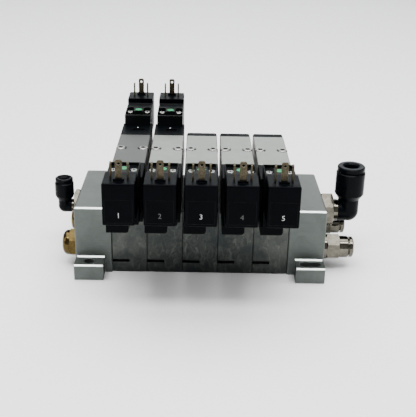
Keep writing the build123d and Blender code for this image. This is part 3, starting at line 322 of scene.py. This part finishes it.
def winding_finish():
    """Enamelled wire laid side by side along the coil."""
    made = Finish("copper_wire", metallic=0.9)
    turns = made.add("ShaderNodeTexWave", bands_direction="Y")
    made.feed(turns.inputs["Vector"], made.placed(0.3, (1, 1, 1), 0))
    turns.inputs["Scale"].default_value = 0.5
    turns.inputs["Distortion"].default_value = 0.15
    varnish = made.noise(1.5, detail=3.0, seed=16)
    shade = made.mix(made.span(varnish, 0.3, 0.7), (0.34, 0.11, 0.04), (0.55, 0.22, 0.08))
    shade = made.mix(made.span(turns.outputs["Fac"], 0.25, 0.0), shade, (0.05, 0.02, 0.01))
    made.edges(0.1)
    rough = made.span(varnish, 0.3, 0.7, 0.25, 0.38)
    return made.finish(shade, rough, made.bump(turns.outputs["Fac"], 0.05, normal=made.rounded))


def ink_finish(name, full, thin):
    """Pad-printed marking, slightly uneven."""
    made = Finish(name, specular=0.2)
    patchy = made.noise(0.25, detail=3.0, seed=17)
    shade = made.mix(made.span(patchy, 0.35, 0.62), full, thin)
    made.edges(0.05)
    rough = made.span(patchy, 0.3, 0.7, 0.45, 0.6)
    return made.finish(shade, rough, made.bump(patchy, 0.004, normal=made.rounded))


# One finish for each material slot of the record: darker colour, lighter colour, roughness.
FINISHES = {
    "plate_metal": plate_finish(),
    "cast_metal": cast_finish(),
    "body_satin": brushed("body_satin", (0.062, 0.064, 0.060), (0.104, 0.107, 0.100),
                          (0.40, 0.50)),
    "body_bright": brushed("body_bright", (0.195, 0.205, 0.188), (0.315, 0.325, 0.298),
                           (0.36, 0.46)),
    "cap_plastic": plastic("cap_plastic", (0.0006, 0.0010, 0.0015), (0.026, 0.028, 0.028),
                           (0.42, 0.52), specular=0.03),
    "pilot_plastic": plastic("pilot_plastic", (0.0014, 0.0019, 0.0022), (0.05, 0.052, 0.048),
                             (0.40, 0.50), specular=0.07),
    "coil_plastic": plastic("coil_plastic", (0.0004, 0.0007, 0.0013), (0.030, 0.030, 0.028),
                            (0.34, 0.44), grain=0.24, depth=0.008, specular=0.025),
    "contact_metal": contact_finish(),
    "screw_steel": polished("screw_steel", (0.15, 0.15, 0.14), (0.27, 0.27, 0.255), (0.14, 0.26)),
    "green_plastic": plastic("green_plastic", (0.001, 0.185, 0.060), (0.03, 0.32, 0.14),
                             (0.34, 0.44), specular=0.25, edge=0.15),
    "nickel": polished("nickel", (0.070, 0.066, 0.053), (0.145, 0.136, 0.112), (0.05, 0.14)),
    "brass": polished("brass", (0.040, 0.028, 0.009), (0.092, 0.066, 0.025), (0.12, 0.24),
                      tarnish=(0.035, 0.020, 0.008)),
    "fitting_plastic": plastic("fitting_plastic", (0.0006, 0.0010, 0.0018), (0.026, 0.030, 0.034),
                               (0.24, 0.34), grain=0.3, depth=0.004, specular=0.045),
    "spool_metal": brushed("spool_metal", (0.5, 0.5, 0.5), (0.7, 0.7, 0.69), (0.22, 0.32)),
    "spring_steel": polished("spring_steel", (0.35, 0.35, 0.36), (0.55, 0.55, 0.55),
                             (0.22, 0.34)),
    "seal_rubber": rubber_finish(),
    "copper_wire": winding_finish(),
    "solenoid_steel": polished("solenoid_steel", (0.28, 0.285, 0.29), (0.42, 0.42, 0.42),
                               (0.22, 0.34)),
}
bright_ink = ink_finish("bright_ink", (0.50, 0.50, 0.49), (0.26, 0.26, 0.26))
faded_ink = ink_finish("faded_ink", (0.085, 0.085, 0.088), (0.05, 0.05, 0.052))

for row in frame["record"]["subparts"]:
    mesh = nodes[row["node"]].data
    mesh.materials.clear()
    mesh.materials.append(FINISHES[row["material_slot"]])


# ---------------------------------------------------------------- pieces

def mesh_piece(name, build, material):
    """A new object whose mesh is filled in by build, a function of a bmesh."""
    mesh = bpy.data.meshes.new(name)
    shape = bmesh.new()
    build(shape)
    bmesh.ops.recalc_face_normals(shape, faces=shape.faces)
    shape.to_mesh(mesh)
    shape.free()
    mesh.materials.append(material)
    piece = bpy.data.objects.new(name, mesh)
    bpy.context.scene.collection.objects.link(piece)
    return piece


TURNED_SEGMENTS = 32


def turned(shape, centre, profile):
    """A turned solid about a vertical line, from (radius, height) points in millimetres."""
    rings = []
    for radius, height in profile:
        if radius == 0:
            rings.append([shape.verts.new(centre + Vector((0, 0, height * MM)))])
            continue
        ring = []
        for k in range(TURNED_SEGMENTS):
            a = 2 * math.pi * k / TURNED_SEGMENTS
            spot = Vector((radius * math.cos(a), radius * math.sin(a), height)) * MM
            ring.append(shape.verts.new(centre + spot))
        rings.append(ring)
    for below, above in zip(rings, rings[1:]):
        for k in range(TURNED_SEGMENTS):
            loop = []
            for ring in (below, above):
                for i in (k, (k + 1) % TURNED_SEGMENTS):
                    if len(ring) > 1:
                        loop.append(ring[i])
                    elif ring[0] not in loop:
                        loop.append(ring[0])
            if len(loop) == 4:
                loop = [loop[0], loop[1], loop[3], loop[2]]
            shape.faces.new(loop)


# A station's number is printed on the panel of each of its coils. Millimetres.
DIGIT_HEIGHT = 2.5
DIGIT_SHARE = 0.7                   # a digit's height as a share of the font's size
DIGIT_Z = 56.4
PANEL_DEPTH = 0.15                  # of the panel in the coil's outer face
INK_THICK = 0.02
FADED_STATIONS = (2, 4)


def digit(name, text, place, turn, ink):
    """A thin printed digit as a mesh, upright, facing -Y before its turn about Z."""
    curve = bpy.data.curves.new(name, "FONT")
    curve.body = text
    curve.align_x = "CENTER"
    curve.align_y = "CENTER"
    curve.size = DIGIT_HEIGHT * MM / DIGIT_SHARE
    curve.extrude = INK_THICK * MM
    drawn = bpy.data.objects.new(name + "_outline", curve)
    bpy.context.scene.collection.objects.link(drawn)
    bpy.context.view_layer.update()
    mesh = bpy.data.meshes.new_from_object(drawn)
    bpy.data.objects.remove(drawn)
    upright = Matrix.Rotation(turn, 4, "Z") @ Matrix.Rotation(math.pi / 2, 4, "X")
    mesh.transform(Matrix.Translation(place) @ upright)
    mesh.materials.clear()
    mesh.materials.append(ink)
    piece = bpy.data.objects.new(name, mesh)
    bpy.context.scene.collection.objects.link(piece)
    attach(piece, "manifold")


def middle_of(node, axis):
    low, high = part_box(node)
    return (low[axis] + high[axis]) / 2


def side_and_station(solenoid):
    side, station = solenoid.split("_")
    return side, int(station)


station_x = {n: middle_of(f"valve_body_{n}", 0) for n in STATIONS}
valve_y = middle_of("valve_body_1", 1)
valve_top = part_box("valve_body_1")[1][2]
coil_low, coil_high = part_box("coil_housings")
panel_y = {"front": coil_low[1] + PANEL_DEPTH * MM, "rear": coil_high[1] - PANEL_DEPTH * MM}
facing = {"front": 0, "rear": math.pi}

for solenoid in SOLENOIDS:
    side, n = side_and_station(solenoid)
    place = Vector((station_x[n], panel_y[side], DIGIT_Z * MM))
    ink = faded_ink if n in FADED_STATIONS else bright_ink
    digit(f"digit_{solenoid}", str(n), place, facing[side], ink)

# The steel ball that plugs a drilling in the top of each solenoid cap. Millimetres, the place
# from the middle of the valve on the front side, the profile as (radius, height).
BALL_PLACE = (-0.4, -36.4)
BALL_PROFILE = [(0, -0.15), (0.62, -0.15), (0.62, 0.0), (0.56, 0.07), (0.45, 0.17), (0.30, 0.25),
                (0.15, 0.29), (0, 0.30)]


def ball_plugs(shape):
    for solenoid in SOLENOIDS:
        side, n = side_and_station(solenoid)
        sign = 1 if side == "front" else -1
        dx, dy = (sign * v * MM for v in BALL_PLACE)
        centre = Vector((station_x[n] + dx, valve_y + dy, valve_top))
        turned(shape, centre, BALL_PROFILE)


plugs = mesh_piece("ball_plugs", ball_plugs, FINISHES["solenoid_steel"])
for polygon in plugs.data.polygons:
    polygon.use_smooth = True
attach(plugs, "manifold")


# ---------------------------------------------------------------- stage

FLOOR_HALF = 3.0
FLOOR_ROUGHNESS = 0.85
WORLD_STRENGTH = 0.5
LAMP_TARGET = (0, 0, 0.04)
COOL = (0.92, 0.98, 1.0)
WHITE = (1, 1, 1)
LAMPS = [                           # name, place, width and height, watts, colour
    ("overhead", (0.0, 0.2, 1.0), (1.4, 0.9), 22.0, WHITE),
    ("front_strip", (0.0, -0.42, 0.95), (1.0, 0.2), 12.0, WHITE),
    ("back", (0.0, 1.1, 0.5), (1.2, 0.4), 4.0, COOL),
    ("left_side", (-0.8, -0.2, 0.45), (0.3, 0.5), 2.5, WHITE),
    ("right_side", (0.8, -0.1, 0.45), (0.3, 0.5), 2.5, WHITE),
]
SENSOR_WIDTH = 36.0
LENS = 70.61
CAMERA_PLACE = (-0.001123, -0.424427, 0.208837)
CAMERA_RIGHT = (0.9998, -0.0036, 0.0203)
CAMERA_FORWARD = (0.0114, 0.9187, -0.3948)


def area_light(name, place, size, power, colour):
    """A soft rectangular lamp that faces the part and isn't seen by the camera."""
    data = bpy.data.lights.new(name, "AREA")
    data.shape = "RECTANGLE"
    data.size, data.size_y = size
    data.energy = power
    data.color = colour
    lamp = bpy.data.objects.new(name, data)
    bpy.context.scene.collection.objects.link(lamp)
    lamp.visible_camera = False
    lamp.location = place
    lamp.rotation_mode = "QUATERNION"
    lamp.rotation_quaternion = (Vector(LAMP_TARGET) - Vector(place)).to_track_quat("-Z", "Y")


def floor_build(shape):
    corners = ((-1, -1), (1, -1), (1, 1), (-1, 1))
    shape.faces.new([shape.verts.new((x * FLOOR_HALF, y * FLOOR_HALF, 0)) for x, y in corners])


def floor_material():
    """Pale matt paper."""
    made = Finish("studio_floor", specular=0.2)
    paper = made.noise(2.0, detail=4.0)
    shade = made.mix(paper, (0.86, 0.86, 0.86), (0.90, 0.90, 0.90))
    return made.finish(shade, FLOOR_ROUGHNESS, made.bump(paper, 0.02))


floor = mesh_piece("floor", floor_build, floor_material())

world = bpy.data.worlds.new("studio")
bpy.context.scene.world = world
world.use_nodes = True
background = world.node_tree.nodes["Background"]
background.inputs["Color"].default_value = (1.0, 1.0, 1.0, 1.0)
background.inputs["Strength"].default_value = WORLD_STRENGTH

for lamp_row in LAMPS:
    area_light(*lamp_row)

camera_data = bpy.data.cameras.new("camera")
camera_data.sensor_width = SENSOR_WIDTH
camera_data.lens = LENS
camera_data.clip_start = 0.01
camera = bpy.data.objects.new("camera", camera_data)
bpy.context.scene.collection.objects.link(camera)
right = Vector(CAMERA_RIGHT).normalized()
forward = Vector(CAMERA_FORWARD).normalized()
up = right.cross(forward)
aim = Matrix((right, up, -forward)).transposed()
camera.matrix_world = Matrix.Translation(CAMERA_PLACE) @ aim.to_4x4()
bpy.context.scene.camera = camera
